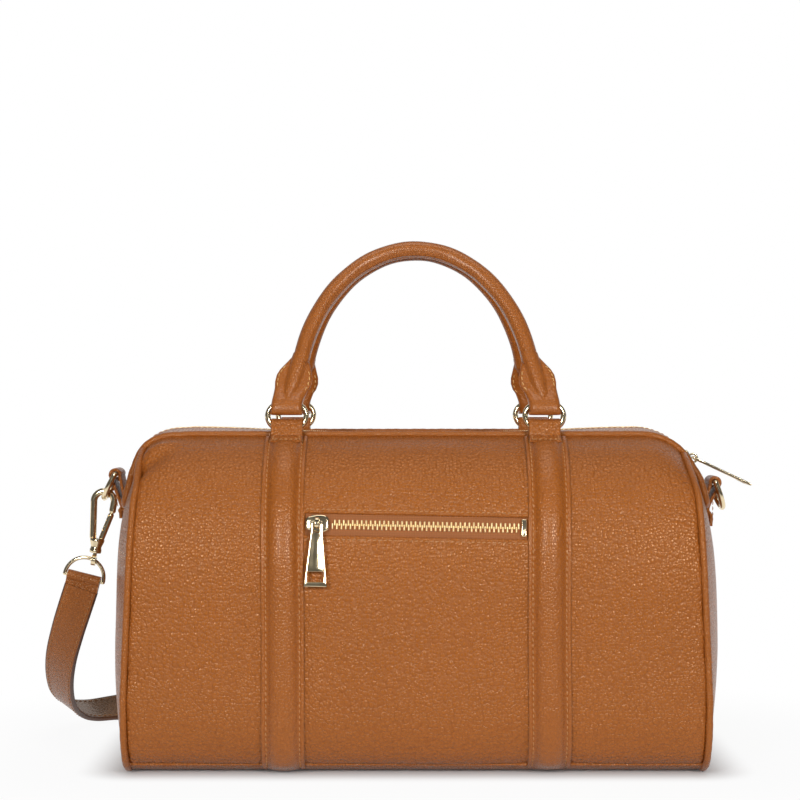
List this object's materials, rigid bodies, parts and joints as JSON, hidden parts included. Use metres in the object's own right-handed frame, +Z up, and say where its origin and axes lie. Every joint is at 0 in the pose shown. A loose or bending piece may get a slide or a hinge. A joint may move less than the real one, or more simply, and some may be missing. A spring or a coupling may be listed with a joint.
{
  "type": "barrel bag",
  "caption": "Small leather barrel bag with rolled handles on oval rings, a zipped top and front pocket, and a shoulder strap with snap hooks.",
  "frame": {"origin": "the middle of the underside of the bag, on the surface it stands on; the strap is left out of the middle", "axes": "+X runs along the bag to the end with the free ring, which is the right of the picture; +Z is up; the front with the pocket faces -Y"},
  "size_m": [0.4172, 0.3301, 0.2941],
  "materials": {
    "tan_leather": "pebbled, waxed",
    "gold_metal": "polished pale gold plating",
    "zip_tape": "woven",
    "lining_cloth": "plain weave",
    "board": "matt sheet",
    "rope": "twisted cord"
  },
  "bodies": {
    "bag": {"front_panel": "tan_leather", "back_panel": "tan_leather", "base_panel": "tan_leather", "left_end_panel": "tan_leather", "right_end_panel": "tan_leather", "left_end_piping": "tan_leather", "right_end_piping": "tan_leather", "zip_panel_front": "tan_leather", "zip_panel_back": "tan_leather", "zip_panel_piping": "tan_leather", "main_zip_tape": "zip_tape", "main_zip_teeth": "gold_metal", "lining": "lining_cloth", "left_end_lining": "lining_cloth", "right_end_lining": "lining_cloth", "base_board": "board", "front_left_band": "tan_leather", "front_right_band": "tan_leather", "back_left_band": "tan_leather", "back_right_band": "tan_leather", "front_left_ring_tab": "tan_leather", "front_right_ring_tab": "tan_leather", "back_left_ring_tab": "tan_leather", "back_right_ring_tab": "tan_leather", "pocket_tape": "zip_tape", "pocket_teeth": "gold_metal", "pocket_stop": "gold_metal", "pocket_bag": "lining_cloth", "left_end_tab": "tan_leather", "right_end_tab": "tan_leather", "shoulder_strap": "tan_leather", "near_strap_fold": "tan_leather", "near_strap_loop": "gold_metal", "near_hook_post": "gold_metal", "far_strap_fold": "tan_leather"},
    "main_slider": {"main_zip_slider": "gold_metal"},
    "main_pull": {"main_zip_pull": "gold_metal"},
    "pocket_slider": {"pocket_slider": "gold_metal"},
    "pocket_pull": {"pocket_pull": "gold_metal"},
    "front_rings": {"front_left_ring": "gold_metal", "front_right_ring": "gold_metal"},
    "front_handle": {"front_handle_cover": "tan_leather", "front_handle_core": "rope", "front_left_handle_foot": "tan_leather", "front_right_handle_foot": "tan_leather"},
    "back_rings": {"back_left_ring": "gold_metal", "back_right_ring": "gold_metal"},
    "back_handle": {"back_handle_cover": "tan_leather", "back_handle_core": "rope", "back_left_handle_foot": "tan_leather", "back_right_handle_foot": "tan_leather"},
    "left_end_ring": {"left_end_ring": "gold_metal"},
    "right_end_ring": {"right_end_ring": "gold_metal"},
    "near_hook": {"near_hook": "gold_metal"},
    "near_hook_gate": {"near_hook_gate": "gold_metal"},
    "far_strap_loop": {"far_strap_loop": "gold_metal"},
    "far_hook_post": {"far_hook_post": "gold_metal"},
    "far_hook": {"far_hook": "gold_metal"},
    "far_hook_gate": {"far_hook_gate": "gold_metal"}
  },
  "joints": [
    {"name": "main_slider_travel", "type": "hinge", "parent": "bag", "child": "main_slider", "pos_m": [0.126, 0, 0.15235], "axis": [0, 1, 0], "range_deg": [-62, 0]},
    {"name": "main_pull_hinge", "type": "hinge", "parent": "main_slider", "child": "main_pull", "pos_m": [0.16132, 0, 0.16957], "axis": [0, -1, 0], "range_deg": [0, 120]},
    {"name": "pocket_slider_travel", "type": "slide", "parent": "bag", "child": "pocket_slider", "axis": [0.9998, -0.0049, -0.0204], "range_m": [0, 0.102]},
    {"name": "pocket_pull_hinge", "type": "hinge", "parent": "pocket_slider", "child": "pocket_pull", "pos_m": [-0.05294, -0.08747, 0.13763], "axis": [0.9998, -0.0049, -0.0204], "range_deg": [-120, 0]},
    {"name": "front_rings_hinge", "type": "hinge", "parent": "bag", "child": "front_rings", "pos_m": [0, -0.044, 0.1871], "axis": [1, 0, 0], "range_deg": [0, 70]},
    {"name": "front_handle_hinge", "type": "hinge", "parent": "front_rings", "child": "front_handle", "pos_m": [0, -0.044, 0.2009], "axis": [1, 0, 0], "range_deg": [-2.5, 85]},
    {"name": "back_rings_hinge", "type": "hinge", "parent": "bag", "child": "back_rings", "pos_m": [0, 0.044, 0.1871], "axis": [-1, 0, 0], "range_deg": [0, 70]},
    {"name": "back_handle_hinge", "type": "hinge", "parent": "back_rings", "child": "back_handle", "pos_m": [0, 0.044, 0.2009], "axis": [-1, 0, 0], "range_deg": [-2.5, 85]},
    {"name": "right_end_ring_hinge", "type": "hinge", "parent": "bag", "child": "right_end_ring", "pos_m": [0.17252, 0, 0.1555], "axis": [0, -1, 0], "range_deg": [0, 20]},
    {"name": "left_end_ring_hinge", "type": "hinge", "parent": "bag", "child": "left_end_ring", "pos_m": [-0.17252, 0, 0.16], "axis": [0, -1, 0], "range_deg": [0, 4]},
    {"name": "near_hook_swivel", "type": "hinge", "parent": "bag", "child": "near_hook", "pos_m": [-0.18477, 0, 0.11765], "axis": [0.1702, 0, 0.9854], "range_deg": [-20, 20]},
    {"name": "near_hook_gate_hinge", "type": "hinge", "parent": "near_hook", "child": "near_hook_gate", "pos_m": [-0.18178, 0, 0.12322], "axis": [0, -1, 0], "range_deg": [0, 20], "stiffness_Nm_per_rad": 0.02, "springref_deg": -11.46},
    {"name": "far_loop_hinge", "type": "hinge", "parent": "bag", "child": "far_strap_loop", "pos_m": [0, 0.23, 0.013], "axis": [0, 0, 1], "range_deg": [-60, 60]},
    {"name": "far_hook_tilt", "type": "hinge", "parent": "far_strap_loop", "child": "far_hook_post", "pos_m": [0.0118, 0.23, 0.013], "axis": [0, -1, 0], "range_deg": [0, 30]},
    {"name": "far_hook_swivel", "type": "hinge", "parent": "far_hook_post", "child": "far_hook", "pos_m": [0.01901, 0.23, 0.01093], "axis": [0.9613, 0, -0.2756], "range_deg": [-15, 15]},
    {"name": "far_hook_gate_hinge", "type": "hinge", "parent": "far_hook", "child": "far_hook_gate", "pos_m": [0.02478, 0.232, 0.00928], "axis": [-0.2756, 0, -0.9613], "range_deg": [0, 20], "stiffness_Nm_per_rad": 0.02, "springref_deg": -11.46}
  ]
}
